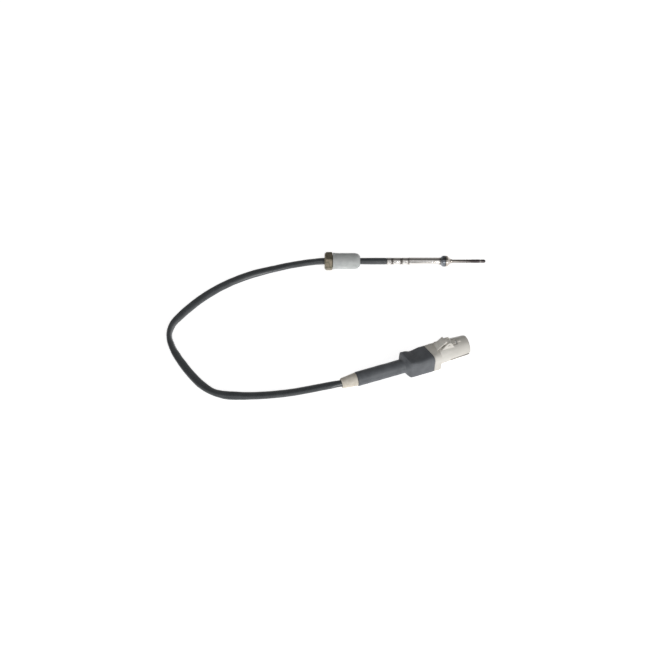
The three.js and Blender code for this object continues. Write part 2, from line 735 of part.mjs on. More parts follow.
function mouthSeal() {
  const start = SOCKET_FLOOR + 4 + GAP;
  const [outerR, innerR, length] = [SOCKET_R - GAP, SOCKET_R - 2, 2.4];
  const profile = [
    [start, innerR],
    [start, outerR],
    [start + length * 0.35, outerR - 0.3],
    [start + length * 0.65, outerR],
    [start + length, outerR - 0.3],
    [start + length, innerR],
  ];
  const ring = turned([...profile, profile[0]], FINE).translate(0, 0, BARREL_Z);
  return piece('mouth_seal', ring, sealRubber());
}

function terminalPin(name, side) {
  const profile = [
    [76, 0],
    [76, 1.35],
    [84, 1.35],
    [84.6, 1.15],
    [PIN_END - 13.5, 1.15],
    [PIN_END - 13, PIN_R],
    [PIN_END - 1, PIN_R],
    [PIN_END, 0.4],
    [PIN_END, 0],
  ];
  return piece(name, turned(profile, 16).translate(0, side * PIN_Y, BARREL_Z), tinnedBrass());
}

function wireSeal(name, side) {
  const outerR = CAVITY_R - 0.15;
  const innerR = PLUG_WIRE_R + 0.15;
  const profile = [[66, innerR], [66, outerR]];
  for (const ridge of [67.5, 69.5, 71.5]) {
    profile.push([ridge - 0.4, outerR - 0.3], [ridge, outerR - 0.3], [ridge + 0.6, outerR]);
  }
  profile.push([73, outerR], [73, innerR]);
  const seal = turned([...profile, profile[0]], 14).translate(0, side * PIN_Y, BARREL_Z);
  return piece(name, seal, sealRubber());
}

// Rocking latch: thumb ramp behind the pivot, arm and tooth in front of it.
function latchLever() {
  const arm = [
    [99.2, 22.3],
    [100.6, 22.0],
    [101.4, 20.4],
    [103.6, 19.4],
    [105.4, 18.4],
    [106.6, 16.4],
    [108, 15.7],
    [110.8, 15.5],
    [111.3, 15.1],
    [111.3, 14.5],
    [110.9, 14.4],
    [110.9, 12.6],
    [109.2, 12.3],
    [107.2, 13.6],
    [106.4, 14],
    [105.6, 15.4],
    [PIVOT_U + 1.2, 15.6],
    [PIVOT_U - 1.2, 15.6],
    [99.8, 17.6],
    [98, 18.4],
  ];
  const ramp = [
    [91.2, 15],
    [98.6, 22.3],
    [100, 22.3],
    [100.4, 22.1],
    [93.3, 15],
    [91.5, 14.8],
  ];
  const trunnion = new THREE.CylinderGeometry(TRUNNION_R, TRUNNION_R, 8, 12);
  const solid = toSolid(plate(arm, -2.5, 2.5))
    .add(toSolid(plate(ramp, -4, 4)))
    .add(toSolid(trunnion.translate(PIVOT_U, 0, PIVOT_Z)));
  return piece('latch_lever', toGeometry(solid), greyPlastic());
}

// ---------------------------------------------------------------- assembly

function probe() {
  const group = new THREE.Group();
  group.position.z = AXIS_HEIGHT;
  group.add(tipCapsule(), sheath(), seatCollar(), frontTube(), crimpTube());
  group.add(sensingElement(), mineralCore(), spliceSleeve(), cableGrommet());
  group.add(coreWire('core_wire_a', 1), coreWire('core_wire_b', -1));
  group.add(splice('splice_a', 1), splice('splice_b', -1));
  group.add(conductor('conductor_a', 1, 0xd8d4c8), conductor('conductor_b', -1, 0x6b3a2a));
  group.add(unionNut(), keeperRing(), threadCap());
  return group;
}

function plug() {
  const group = new THREE.Group();
  group.position.set(...PLUG_ORIGIN);
  group.rotation.z = THREE.MathUtils.degToRad(PLUG_TURN_DEG);
  group.add(cableBoot(), heatShrink(), plugHousing(), latchLever());
  group.add(terminalLock(), mouthSeal());
  group.add(terminalPin('terminal_pin_a', 1), terminalPin('terminal_pin_b', -1));
  group.add(wireSeal('wire_seal_a', 1), wireSeal('wire_seal_b', -1));
  group.add(plugWire('plug_wire_a', 1, 0xd8d4c8), plugWire('plug_wire_b', -1, 0x6b3a2a));
  return group;
}

const part = new THREE.Group();
part.add(probe(), leadCable(), plug());

export default part;
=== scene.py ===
# Flame sensor probe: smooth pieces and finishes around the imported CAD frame.
# Objects are in metres. Outlines are written in millimetres and scaled by MM when a mesh is made.
import math

import bmesh
import bpy
from mathutils import Matrix, Vector, noise


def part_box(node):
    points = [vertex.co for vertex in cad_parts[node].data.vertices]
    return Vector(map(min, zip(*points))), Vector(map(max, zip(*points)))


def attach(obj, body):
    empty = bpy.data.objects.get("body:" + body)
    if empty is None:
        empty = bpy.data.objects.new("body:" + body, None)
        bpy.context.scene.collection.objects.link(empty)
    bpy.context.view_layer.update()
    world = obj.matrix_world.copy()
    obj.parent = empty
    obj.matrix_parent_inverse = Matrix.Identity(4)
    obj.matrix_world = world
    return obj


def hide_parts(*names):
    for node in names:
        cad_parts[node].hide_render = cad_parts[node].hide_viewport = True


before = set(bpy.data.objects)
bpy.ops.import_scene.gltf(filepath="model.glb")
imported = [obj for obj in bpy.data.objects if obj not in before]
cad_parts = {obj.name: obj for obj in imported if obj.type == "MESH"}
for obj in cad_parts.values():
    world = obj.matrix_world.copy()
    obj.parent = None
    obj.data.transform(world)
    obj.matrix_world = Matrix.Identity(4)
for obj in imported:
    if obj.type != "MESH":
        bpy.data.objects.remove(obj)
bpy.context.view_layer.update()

MM = 0.001

# ---------------------------------------------------------------- camera

CAMERA_ELEVATION = math.radians(51)
CAMERA_DISTANCE = 0.99
CAMERA_TARGET = Vector((-0.080, -0.0753, 0.0))
CAMERA_FIELD = math.radians(35)


def add_camera():
    data = bpy.data.cameras.new("camera")
    data.angle = CAMERA_FIELD
    camera = bpy.data.objects.new("camera", data)
    back = Vector((0, -math.cos(CAMERA_ELEVATION), math.sin(CAMERA_ELEVATION)))
    camera.location = CAMERA_TARGET + CAMERA_DISTANCE * back
    camera.rotation_euler = (math.pi / 2 - CAMERA_ELEVATION, 0, 0)
    bpy.context.scene.collection.objects.link(camera)
    bpy.context.scene.camera = camera


# ---------------------------------------------------------------- places that the frame gives


def extent(node):
    """Lowest and highest corner of a CAD node, in millimetres."""
    points = [v.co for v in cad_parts[node].data.vertices]
    low = Vector([min(p[i] for p in points) for i in range(3)])
    high = Vector([max(p[i] for p in points) for i in range(3)])
    return low / MM, high / MM


NUT_LOW, NUT_HIGH = extent("union_nut")
AXIS_Z = (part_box("sheath")[0].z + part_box("sheath")[1].z) / 2 / MM
PROBE = Matrix.Translation((0, 0, AXIS_Z * MM))
PLUG_ORIGIN = Vector((-65.3, -150.7, 8.8))
PLUG_TURN = math.radians(19.2)
PLUG = Matrix.Translation(PLUG_ORIGIN * MM) @ Matrix.Rotation(PLUG_TURN, 4, "Z")

# ---------------------------------------------------------------- mesh helpers


def mesh_object(name, vertices, faces, place=Matrix.Identity(4), sharp=35):
    """An object from points in millimetres, shaded smooth except at edges sharper than that many degrees."""
    mesh = bpy.data.meshes.new(name)
    mesh.from_pydata([Vector(v) * MM for v in vertices], [], faces)
    work = bmesh.new()
    work.from_mesh(mesh)
    bmesh.ops.remove_doubles(work, verts=work.verts, dist=1e-6)
    bmesh.ops.dissolve_degenerate(work, edges=work.edges, dist=1e-7)
    bmesh.ops.recalc_face_normals(work, faces=work.faces)
    work.to_mesh(mesh)
    work.free()
    piece = bpy.data.objects.new(name, mesh)
    piece.matrix_world = place
    bpy.context.scene.collection.objects.link(piece)
    shade(piece, sharp)
    return piece


def shade(piece, sharp=35):
    piece.data.shade_smooth()
    piece.data.set_sharp_from_angle(angle=math.radians(sharp))


def apply_modifiers(piece):
    bpy.context.view_layer.update()
    seen = piece.evaluated_get(bpy.context.evaluated_depsgraph_get())
    mesh = bpy.data.meshes.new_from_object(seen)
    piece.modifiers.clear()
    piece.data = mesh
    shade(piece)


def combine(piece, tools, operation):
    """Joins the tools to the piece or cuts them from it, and deletes them."""
    for tool in tools:
        modifier = piece.modifiers.new("combine", "BOOLEAN")
        modifier.operation = operation
        modifier.solver = "EXACT"
        modifier.object = tool
    apply_modifiers(piece)
    for tool in tools:
        bpy.data.objects.remove(tool)
    return piece


def bevel(piece, width, segments=3, angle=35):
    modifier = piece.modifiers.new("bevel", "BEVEL")
    modifier.width = width * MM
    modifier.segments = segments
    modifier.limit_method = "ANGLE"
    modifier.angle_limit = math.radians(angle)
    modifier.use_clamp_overlap = True
    apply_modifiers(piece)
    return piece


def softened(points, radius, closed=False, steps=4):
    """The outline with its corners rounded, and a point beside each round that keeps the flats flat."""
    out = []
    for i, point in enumerate(points):
        here = Vector(point)
        if not closed and i in (0, len(points) - 1):
            out.append(here)
            continue
        before = Vector(points[i - 1]) - here
        after = Vector(points[(i + 1) % len(points)]) - here
        turn = math.pi - before.angle(after)
        if turn < math.radians(14):
            out.append(here)
            continue
        back = min(radius * math.tan(turn / 2), 0.4 * before.length, 0.4 * after.length)
        start = here + before.normalized() * back
        end = here + after.normalized() * back
        out.append(here + before.normalized() * back * 1.2)
        for step in range(steps + 1):
            t = step / steps
            out.append(start * (1 - t) ** 2 + here * 2 * t * (1 - t) + end * t ** 2)
        out.append(here + after.normalized() * back * 1.2)
    return out


def skin(columns, along=False):
    """Points and quads between neighbouring columns, the last joined to the first.

    With along, each column is closed as well.
    """
    count = len(columns[0])
    vertices = [point for column in columns for point in column]
    faces = []
    for i in range(len(columns)):
        here, there = i * count, (i + 1) % len(columns) * count
        for j in range(count if along else count - 1):
            k = (j + 1) % count
            faces.append((here + j, here + k, there + k, there + j))
    return vertices, faces


def quarter(x, radius, length, height, steps=8):
    """A quarter of an ellipse in a profile, from its top to its front."""
    angles = [math.radians(90 * step / steps) for step in range(steps + 1)]
    return [(x + length * math.sin(a), radius + height * math.cos(a)) for a in angles]


def turned(name, profile, place, sides=96, soft=0.15, hollow=True, warp=None, lift=0.0):
    """A profile of (x, radius) points turned round the X axis.

    A hollow profile is closed. One that isn't starts and ends on the axis. A warp changes the radius by
    angle, and the lift is the axis's height above the place.
    """
    outline = softened(profile, soft, closed=hollow)
    columns = []
    for i in range(sides):
        angle = 2 * math.pi * i / sides
        column = []
        for x, radius in outline:
            r = warp(x, radius, angle) if warp else radius
            column.append((x, r * math.cos(angle), lift + r * math.sin(angle)))
        columns.append(column)
    return mesh_object(name, *skin(columns, along=hollow), place)


def loft(name, rings, place, ends=True):
    """A skin over equal rings, each a list of points, with flat ends or joined back to the first ring."""
    columns = [list(column) for column in zip(*rings)]
    vertices, faces = skin(columns, along=not ends)
    if ends:
        count = len(rings)
        faces.append([i * count for i in range(len(columns))])
        faces.append([i * count + count - 1 for i in range(len(columns))])
    return mesh_object(name, vertices, faces, place)


def plate(name, outline, low_y, high_y, place, soft=0.3, edge=0.2):
    """An outline of (x, z) points with rounded corners, as a plate between two values of y."""
    around = softened(outline, soft, closed=True, steps=3)
    rings = [[(x, y, z) for x, z in around] for y in (low_y, high_y)]
    return bevel(loft(name, rings, place), edge, angle=50)


def rod(name, start, end, radius, place, y=0.0, z=0.0, sides=48):
    """A cylinder along X between two places."""
    rings = []
    for x in (start, end):
        ring = []
        for i in range(sides):
            angle = 2 * math.pi * i / sides
            ring.append((x, y + radius * math.cos(angle), z + radius * math.sin(angle)))
        rings.append(ring)
    return loft(name, rings, place)


def block(name, low, high, place):
    """A box between two corners."""
    (near, under), (far, top) = low[1:], high[1:]
    rings = [[(x, near, under), (x, far, under), (x, far, top), (x, near, top)] for x in (low[0], high[0])]
    return loft(name, rings, place)


def eased(keys, x):
    """The value at x between (x, value...) keys, leaving and reaching each key level."""
    if x <= keys[0][0]:
        return keys[0][1:]
    for before, after in zip(keys, keys[1:]):
        if x <= after[0]:
            t = (x - before[0]) / (after[0] - before[0])
            t = t * t * (3 - 2 * t)
            return [a + (b - a) * t for a, b in zip(before[1:], after[1:])]
    return keys[-1][1:]


def square_ring(x, across, height, low_corner, high_corner, per_corner=10):
    """A rectangle in the YZ plane with rounded corners, between two values of y and two of z."""
    ring = []
    for sign_y, sign_z, start in ((1, 1, 0), (-1, 1, 90), (-1, -1, 180), (1, -1, 270)):
        corner = high_corner if sign_z > 0 else low_corner
        centre_y = across[1] - corner if sign_y > 0 else across[0] + corner
        centre_z = height[1] - corner if sign_z > 0 else height[0] + corner
        for step in range(per_corner + 1):
            angle = math.radians(start + 90 * step / per_corner)
            y, z = centre_y + corner * math.cos(angle), centre_z + corner * math.sin(angle)
            ring.append(Vector((x, y, z)))
    return ring


# ---------------------------------------------------------------- material helpers


def srgb(text):
    """A colour written as six hex digits, as linear light."""
    out = []
    for i in (0, 2, 4):
        value = int(text[i:i + 2], 16) / 255
        out.append(value / 12.92 if value <= 0.04045 else ((value + 0.055) / 1.055) ** 2.4)
    return (*out, 1.0)


def feed(tree, socket, value):
    """Sets a socket to a value, or links another node's output to it."""
    if isinstance(value, bpy.types.NodeSocket):
        tree.links.new(value, socket)
    else:
        socket.default_value = value


def add(tree, kind, **inputs):
    """A shader node with its inputs, where an input is a value or another node's output."""
    made = tree.nodes.new("ShaderNode" + kind)
    for key, value in inputs.items():
        feed(tree, made.inputs[key], value)
    return made


def maths(tree, operation, first, second, kind="Math"):
    """A maths node of two values or outputs."""
    made = add(tree, kind)
    made.operation = operation
    feed(tree, made.inputs[0], first)
    feed(tree, made.inputs[1], second)
    return made


def millimetres(tree, stretch=(1, 1, 1)):
    """The piece's own coordinates in millimetres, divided by a stretch along each axis."""
    place = add(tree, "TexCoord").outputs["Object"]
    scale = tuple(1 / MM / s for s in stretch)
    return maths(tree, "MULTIPLY", place, scale, kind="VectorMath").outputs["Vector"]


def cloud(tree, size, stretch=(1, 1, 1), detail=3.0):
    """Noise from 0 to 1 whose patches are that many millimetres across."""
    made = add(tree, "TexNoise", Vector=millimetres(tree, stretch), Scale=1 / size, Detail=detail)
    return made.outputs["Fac"]


def ranged(tree, value, low, high, out_low, out_high):
    """The value carried from one range to another and held at its ends."""
    made = add(tree, "MapRange", Value=value)
    for key, number in (("From Min", low), ("From Max", high), ("To Min", out_low), ("To Max", out_high)):
        made.inputs[key].default_value = number
    return made.outputs["Result"]


def mixed(tree, share, first, second, blend="MIX"):
    made = add(tree, "MixRGB", Fac=share, Color1=first, Color2=second)
    made.blend_type = blend
    return made.outputs["Color"]


def ramped(tree, share, levels):
    """A colour ramp of (place, linear colour) levels."""
    ramp = add(tree, "ValToRGB", Fac=share)
    bands = ramp.color_ramp.elements
    for i, (place, colour) in enumerate(levels):
        band = bands[i] if i < 2 else bands.new(place)
        band.position = place
        band.color = colour
    return ramp.outputs["Color"]


def finish(name, light, dark, roughness, metallic=0.0, patch=6.0, patch_stretch=(1, 1, 1),
           grain=0.3, stretch=(1, 1, 1), bump=0.01, specular=0.5):
    """A surface whose colour drifts between two shades, with a fine grain in its gloss and its relief."""
    material = bpy.data.materials.new(name)
    material.use_nodes = True
    tree = material.node_tree
    shader = tree.nodes["Principled BSDF"]
    shader.inputs["Metallic"].default_value = metallic
    shader.inputs["Specular IOR Level"].default_value = specular
    share = ranged(tree, cloud(tree, patch, patch_stretch), 0.35, 0.65, 0, 1)
    tree.links.new(mixed(tree, share, srgb(light), srgb(dark)), shader.inputs["Base Color"])
    fine = cloud(tree, grain, stretch)
    tree.links.new(ranged(tree, fine, 0.3, 0.7, *roughness), shader.inputs["Roughness"])
    relief = add(tree, "Bump", Height=fine, Strength=1.0, Distance=bump * MM)
    tree.links.new(relief.outputs["Normal"], shader.inputs["Normal"])
    return material, tree, shader


def recolour(tree, shader, share, colour, blend="MIX"):
    """Lays a colour over the base colour by a share from 0 to 1."""
    base = shader.inputs["Base Color"]
    tree.links.new(mixed(tree, share, base.links[0].from_socket, colour, blend), base)


def tinted_steel(name, start, end, colours, roughness=(0.3, 0.46), wobble=0.03):
    """Steel whose tint changes along X between two places, in millimetres."""
    material, tree, shader = finish(name, "ffffff", "f0edea", roughness, metallic=1.0, patch=1.5,
                                    grain=0.3, stretch=(0.5, 3, 3), bump=0.0015)
    apart = add(tree, "SeparateXYZ", Vector=millimetres(tree))
    along = ranged(tree, apart.outputs["X"], start, end, 0, 1)
    drift = ranged(tree, cloud(tree, 2.0), 0, 1, -wobble, wobble)
    place = maths(tree, "ADD", along, drift).outputs["Value"]
    tint = ramped(tree, place, [(share, srgb(colour)) for share, colour in colours])
    recolour(tree, shader, 1.0, tint, "MULTIPLY")
    return material


def yellow_zinc():
    """Chromated zinc gone dull: olive, brown and a little green in patches."""
    material, tree, shader = finish("yellow_zinc", "968b79", "6f6a5b", (0.36, 0.52), metallic=0.6, patch=2.5,
                                    grain=0.35, bump=0.006)
    green = ranged(tree, cloud(tree, 4.0, detail=2), 0.5, 0.7, 0, 0.6)
    recolour(tree, shader, green, srgb("6c6a56"))
    return material


def cap_plastic():
    """Soft milky polythene that lets some light through."""
    material, _, shader = finish("cap_plastic", "e4e7e6", "d8dcdb", (0.36, 0.5), patch=5,
                                    grain=0.4, bump=0.004)
    shader.inputs["Transmission Weight"].default_value = 0.35
    shader.inputs["Subsurface Weight"].default_value = 0.3
    shader.inputs["Subsurface Scale"].default_value = 1.5 * MM
    shader.inputs["Subsurface Radius"].default_value = (1.0, 1.0, 1.0)
    shader.inputs["IOR"].default_value = 1.5
    return material


def cream_rubber():
    """Cream rubber with brown grime in patches."""
    material, tree, shader = finish("cream_rubber", "dcd6ca", "cbc3b5", (0.5, 0.65), patch=4,
                                    grain=0.25, bump=0.01)
    grime = ranged(tree, cloud(tree, 2.5, (2, 1, 1), 6), 0.58, 0.74, 0, 0.4)
    recolour(tree, shader, grime, srgb("8f8171"))
    return material


def grey_plastic():
    """Moulded light grey plastic: spark-eroded texture, faint flow marks, painted shade inside the socket."""
    material, tree, shader = finish("grey_plastic", "d9d6cf", "ccc8c0", (0.36, 0.5), patch=9,
                                    patch_stretch=(2, 1, 1), grain=0.12, bump=0.006)
    # Painted shade: the mask below darkens the socket's inside wall, its floor and the inner edges of the
    # slots.
    apart = add(tree, "SeparateXYZ", Vector=millimetres(tree))
    flat = add(tree, "CombineXYZ", X=0.0, Y=apart.outputs["Y"], Z=apart.outputs["Z"])
    reach = maths(tree, "DISTANCE", flat.outputs["Vector"], (0, 0, BARREL_Z), kind="VectorMath")
    inside = ranged(tree, reach.outputs["Value"], SOCKET_R + 0.4, SOCKET_R + 1.0, 1, 0)
    socket = ranged(tree, apart.outputs["X"], SOCKET_FLOOR - 1, SOCKET_FLOOR, 0, 1)
    dark = maths(tree, "MULTIPLY", inside, socket).outputs["Value"]
    recolour(tree, shader, dark, srgb("3b3936"))
    return material


def black_shrink():
    """Shrunk polyolefin sleeve: satin black with a fine grain."""
    return finish("black_shrink", "64676b", "585b5f", (0.4, 0.52), patch=8, grain=0.5,
                  stretch=(1, 1.5, 1.5), bump=0.02, specular=0.35)[0]


def black_sleeve():
    """Lead sleeve: glossy black in two close shades."""
    return finish("black_sleeve", "43474a", "393d40", (0.24, 0.34), patch=7, grain=0.35,
                  bump=0.008, specular=0.9)[0]


def plain(name, light, dark, roughness, metallic=0.0):
    """A finish for the small pieces and the ones inside."""
    return finish(name, light, dark, roughness, metallic, patch=1.5, grain=0.2, bump=0.004)[0]


def dress(piece, material, body, slot, *nodes):
    """Gives a new piece its finish and its body, and hides the CAD nodes it stands for. The slot is not used.
    """
    piece.data.materials.clear()
    piece.data.materials.append(material)
    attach(piece, body)
    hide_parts(*nodes)
    return piece


# ---------------------------------------------------------------- lead

LEAD_ROUTE = [
    (-18.4, 0, 8.5), (-50, 0, 8.5), (-82, 0, 8.45), (-93, -0.3, 7.5), (-104.5, -1.2, 6.1),
    (-116.5, -2.7, 4.7), (-128, -5, 3.5), (-139.5, -8, 2.85), (-151, -12.1, 2.65),
    (-162, -17.1, 2.65), (-172.7, -23, 2.65), (-183, -29.8, 2.65), (-192.7, -37.5, 2.65),
    (-201.9, -46, 2.65), (-210.4, -55.3, 2.65), (-218.4, -65.5, 2.8), (-225.3, -76.6, 3.3),
    (-227.8, -89.5, 3.85), (-224.3, -103, 3.6), (-217.8, -115.4, 3.05), (-210.2, -126.9, 2.75),
    (-202.2, -137.5, 2.65), (-193.3, -147.3, 2.65), (-182.6, -155.3, 2.65), (-171, -159.1, 2.65),
    (-158, -160.1, 2.65), (-144, -159.9, 2.65), (-130, -159, 2.7), (-118, -157.7, 2.9),
    (-107, -156.3, 3.5), (-97, -155, 4.7), (-87, -153.8, 6.4), (-77.5, -152.7, 8),
    (-71.2, -151.7, 8.7), (-65.9, -150.7, 8.9),
]
LEAD_SECTIONS = [
    # point of the route, half width, half thickness, roll in degrees
    (0, 3.45, 3.3, 0), (2, 3.5, 3.2, 0), (3, 3.6, 2.7, -4), (6, 3.8, 2.5, -4), (8, 3.9, 2.5, -24),
    (14, 3.95, 2.55, -34), (15, 3.8, 2.5, -46), (16, 3.8, 2.5, -64), (17, 3.8, 2.5, -72),
    (18, 3.8, 2.5, -40), (19, 3.8, 2.5, -15), (20, 3.9, 2.5, 0), (22, 3.9, 2.5, 4),
    (23, 3.6, 2.5, -4), (24.5, 3.95, 2.55, 18), (26, 3.85, 2.5, 2), (32, 3.8, 2.5, 0),
    (34, 3.3, 3.0, 0),
]
LEAD_IN_BOOT = 12.5                     # the lead's last stretch, hidden in the boot
LEAD_STEP = 1.5
LEAD_SIDES = 32
LEAD_SWELL = 1.03                       # room for the uneven surface above what the lead lies on
UNEVEN = 0.03                           # how far a swelling goes, as a share of the lead's size
LONG_SWELLS = 0.05                      # swellings per millimetre
SHORT_SWELLS = 0.25


def through(points, step):
    """Points about a step apart on a smooth centripetal curve, each with its place among the given points."""
    knots = [Vector(p) for p in points]
    knots = [2 * knots[0] - knots[1], *knots, 2 * knots[-1] - knots[-2]]
    out = []
    for index, (p0, p1, p2, p3) in enumerate(zip(knots, knots[1:], knots[2:], knots[3:])):
        t1 = math.sqrt((p1 - p0).length)
        t2 = t1 + math.sqrt((p2 - p1).length)
        t3 = t2 + math.sqrt((p3 - p2).length)
        count = max(1, round((p2 - p1).length / step))
        for i in range(count):
            t = t1 + (t2 - t1) * i / count
            a = p0.lerp(p1, t / t1)
            b = p1.lerp(p2, (t - t1) / (t2 - t1))
            c = p2.lerp(p3, (t - t2) / (t3 - t2))
            d = a.lerp(b, t / t2)
            e = b.lerp(c, (t - t1) / (t3 - t1))
            out.append((d.lerp(e, (t - t1) / (t2 - t1)), index + i / count))
    out.append((knots[-2], len(points) - 1))
    return out


def sleeved_lead(material):
    """The flat lead, which lies on its broad side and rolls on edge round the tight bend."""
    inside = PLUG_ORIGIN + LEAD_IN_BOOT * Vector((math.cos(PLUG_TURN), math.sin(PLUG_TURN), 0))
    places = through([*LEAD_ROUTE, inside], LEAD_STEP)
    route = [point for point, _ in places]
    rings = []
    for i, (centre, place) in enumerate(places):
        ahead = (route[min(i + 1, len(route) - 1)] - route[max(i - 1, 0)]).normalized()
        side = Vector((0, 0, 1)).cross(ahead).normalized()
        up = ahead.cross(side)
        half_width, half_depth, roll = eased(LEAD_SECTIONS, place)
        turn = math.radians(roll)
        broad = side * math.cos(turn) + up * math.sin(turn)
        thin = up * math.cos(turn) - side * math.sin(turn)
        reach_down = math.hypot(half_width * math.sin(turn), half_depth * math.cos(turn)) * LEAD_SWELL
        middle = Vector((centre.x, centre.y, max(centre.z, reach_down)))
        ring = []
        for j in range(LEAD_SIDES):
            angle = 2 * math.pi * j / LEAD_SIDES
            out = broad * half_width * math.cos(angle) + thin * half_depth * math.sin(angle)
            swell = noise.noise(centre * LONG_SWELLS) + noise.noise((centre + out) * SHORT_SWELLS)
            ring.append(middle + out * (1 + UNEVEN * swell - 0.01))
        rings.append(ring)
    piece = loft("sleeved_lead", rings, Matrix.Identity(4))
    dress(piece, material, "probe", "black_sleeve", "lead_cable")
    return piece, route


# ---------------------------------------------------------------- probe


TINT_START = 45.0                       # where the sheath's heat tint starts


def sensing_tip():
    """Closed capsule with a swaged neck and a rounded end."""
    low, high = extent("tip_capsule")
    start, end = low.x, high.x
    nose = quarter(end - 1.7, 0, 1.7, 1.68)
    inner = [(end - 2, 0), (end - 2.2, 0.8), (end - 2.9, 1.3), (start, 1.3)]
    neck = [(start, 1.58), (start + 0.3, 1.72), (start + 1.2, 1.72), (start + 1.6, 1.6),
            (start + 5.2, 1.6), (start + 5.8, 1.74), (end - 6.2, 1.74), (end - 5.8, 1.58),
            (end - 5.0, 1.58), (end - 4.6, 1.68)]
    profile = [*inner, *neck, *nose[:-1], (end, 0)]
    bands = [(0.0, "76716e"), (0.28, "645e5d"), (0.45, "554f51"), (0.66, "575154"), (0.735, "918d8b"),
             (0.8, "5e5959"), (1.0, "4b4648")]
    tint = tinted_steel("tinted_steel", start, end, bands)
    piece = turned("sensing_tip", profile, PROBE, sides=64, soft=0.2, hollow=False)
    return dress(piece, tint, "probe", "tinted_steel", "tip_capsule")


def sheath_tube():
    """Plain tube with a heat tint that grows towards the tip."""
    low, high = extent("sheath")
    bands = [(0.0, "aaa6a1"), (0.4, "938e89"), (0.75, "827d79"), (1.0, "767170")]
    tint = tinted_steel("sheath_steel", TINT_START, high.x, bands)
    profile = [(low.x, 1.3), (low.x, 1.6), (high.x, 1.6), (high.x, 1.3)]
    piece = turned("sheath_tube", profile, PROBE, sides=64, soft=0.05)
    return dress(piece, tint, "probe", "sheath_steel", "sheath")


def stop_collar():
    """Sleeve, stepped collar with a groove, and a cone in front."""
    low, high = extent("seat_collar")
    rear = low.x + 4
    # The crest's slate bands are a darker steel that also paints in the crest's dark reflection. The darkest
    # band, at 0.4, is painted shade in the groove, and the darker small end of the cone is painted shade.
    bands = [(0.0, "a0a3a8"), (0.16, "868b92"), (0.36, "757a81"), (0.4, "3a3d41"), (0.44, "8f8a86"),
             (0.48, "c9c2bb"), (0.75, "d5cec7"), (1.0, "a39d98")]
    material = tinted_steel("collar_steel", rear, high.x, bands, (0.16, 0.26), wobble=0.012)
    profile = [(low.x, 1.85), (low.x, 3.15), (rear, 3.15), (rear, 3.95), (rear + 1.8, 5.4), (rear + 2.3, 5.6),
               (rear + 4.9, 5.6), (rear + 5.2, 5.3), (rear + 5.5, 5.5), (rear + 6.7, 5.5), (rear + 9.9, 2.3),
               (rear + 10.4, 2.1), (high.x, 2.05), (high.x, 1.85)]
    piece = turned("stop_collar", profile, PROBE, soft=0.3)
    return dress(piece, material, "probe", "bright_steel", "seat_collar")


def bright_tube():
    """Thin tube with a rolled rear edge and a dull heat stain at each end."""
    low, high = extent("front_tube")
    profile = [(low.x, 3.35), (low.x, 3.55), (low.x + 1.0, 3.75), (high.x, 3.75), (high.x, 3.35)]
    bands = [(0.0, "a9a5a2"), (0.03, "c9c6c3"), (0.06, "efedeb"), (0.93, "f2f0ee"), (1.0, "a5a29f")]
    material = tinted_steel("tube_steel", low.x, high.x, bands, (0.14, 0.24))
    piece = turned("bright_tube", profile, PROBE, soft=0.12)
    return dress(piece, material, "probe", "bright_steel", "front_tube")


CRIMPS_X = (-12.9, -3.8)
CRIMP_DEPTH = 0.55
CRIMP_JAWS = 8
FAINT_X = (-7.6, -5.9)
FAINT_DEPTH = 0.08


def crimped_tube():
    """Tube pressed on the lead in two rings of eight jaw marks, with two fainter rings between, and painted
    shade in the two deep rings.
    """
    low, high = extent("crimp_tube")
    step_x = extent("front_tube")[0].x - 0.3

    def pressed(x, radius, angle):
        depth = 0.0
        for middle in CRIMPS_X:
            jaw = 0.8 + 0.2 * math.cos(CRIMP_JAWS * angle)
            depth += CRIMP_DEPTH * jaw * math.exp(-((x - middle) / 0.75) ** 4)
        for middle in FAINT_X:
            depth += FAINT_DEPTH * math.exp(-((x - middle) / 0.35) ** 2)
        return radius - depth

    steps = [low.x + (step_x - low.x) * i / 110 for i in range(1, 110)]
    outer = [(low.x, 3.6), *((x, 3.65) for x in steps), (step_x, 3.55)]
    neck = [(step_x, 3.15), (high.x, 3.15), (high.x, 2.7), (step_x - 0.5, 2.7)]
    inner = [(x, 3.15) for x in reversed(steps)] + [(low.x, 3.15)]
    # bright is the tube's steel tint; dull is painted shade, a dark band laid into each crimp's groove.
    bright, dull = "f0eeec", "77736f"
    bands = [(0.0, "a9a6a3"), (0.04, bright)]
    for middle in CRIMPS_X:
        share = (middle - low.x) / (step_x - low.x)
        marks = ((-0.075, bright), (-0.035, dull), (0.035, dull), (0.075, bright))
        bands += [(share + off, colour) for off, colour in marks]
    bands += [(0.97, bright), (1.0, "8f8c89")]
    material = tinted_steel("crimp_steel", low.x, step_x, bands, (0.14, 0.24), wobble=0.006)
    piece = turned("crimped_tube", [*outer, *neck, *inner], PROBE, soft=0.1, warp=pressed)
    return dress(piece, material, "probe", "bright_steel", "crimp_tube")


# ---------------------------------------------------------------- union nut, ring and cap

ACROSS_FLATS = 17.0
HEX_CORNER = 0.35                       # how far the hexagon's corners are worn back
HEX_LENGTH = 8.1
HEX_FACE_R = ACROSS_FLATS / 2 - 1.1     # the rear face inside its chamfer
REAR_CHAMFER = 0.9                      # length of a chamfer for each millimetre of its height
FRONT_CHAMFER = 0.35
NUT_SIDES = 180
THREAD_LENGTH = 18.0
THREAD_PITCH = 1.5
THREAD_R = 6.95
THREAD_ROOT_R = 6.1
THREAD_STEPS = 14                       # points along each turn of the thread
NUT_BORE_R = 4.25
POCKET_R = 5.1
POCKET_DEPTH = 3.0


def hexagon_radius(angle):
    """Distance from the axis to a hexagon with two level flats and slightly rounded corners."""
    turn = (angle - math.pi / 2) % (math.pi / 3)
    off = min(turn, math.pi / 3 - turn)
    return min(ACROSS_FLATS / 2 / math.cos(off), ACROSS_FLATS / math.sqrt(3) - HEX_CORNER)


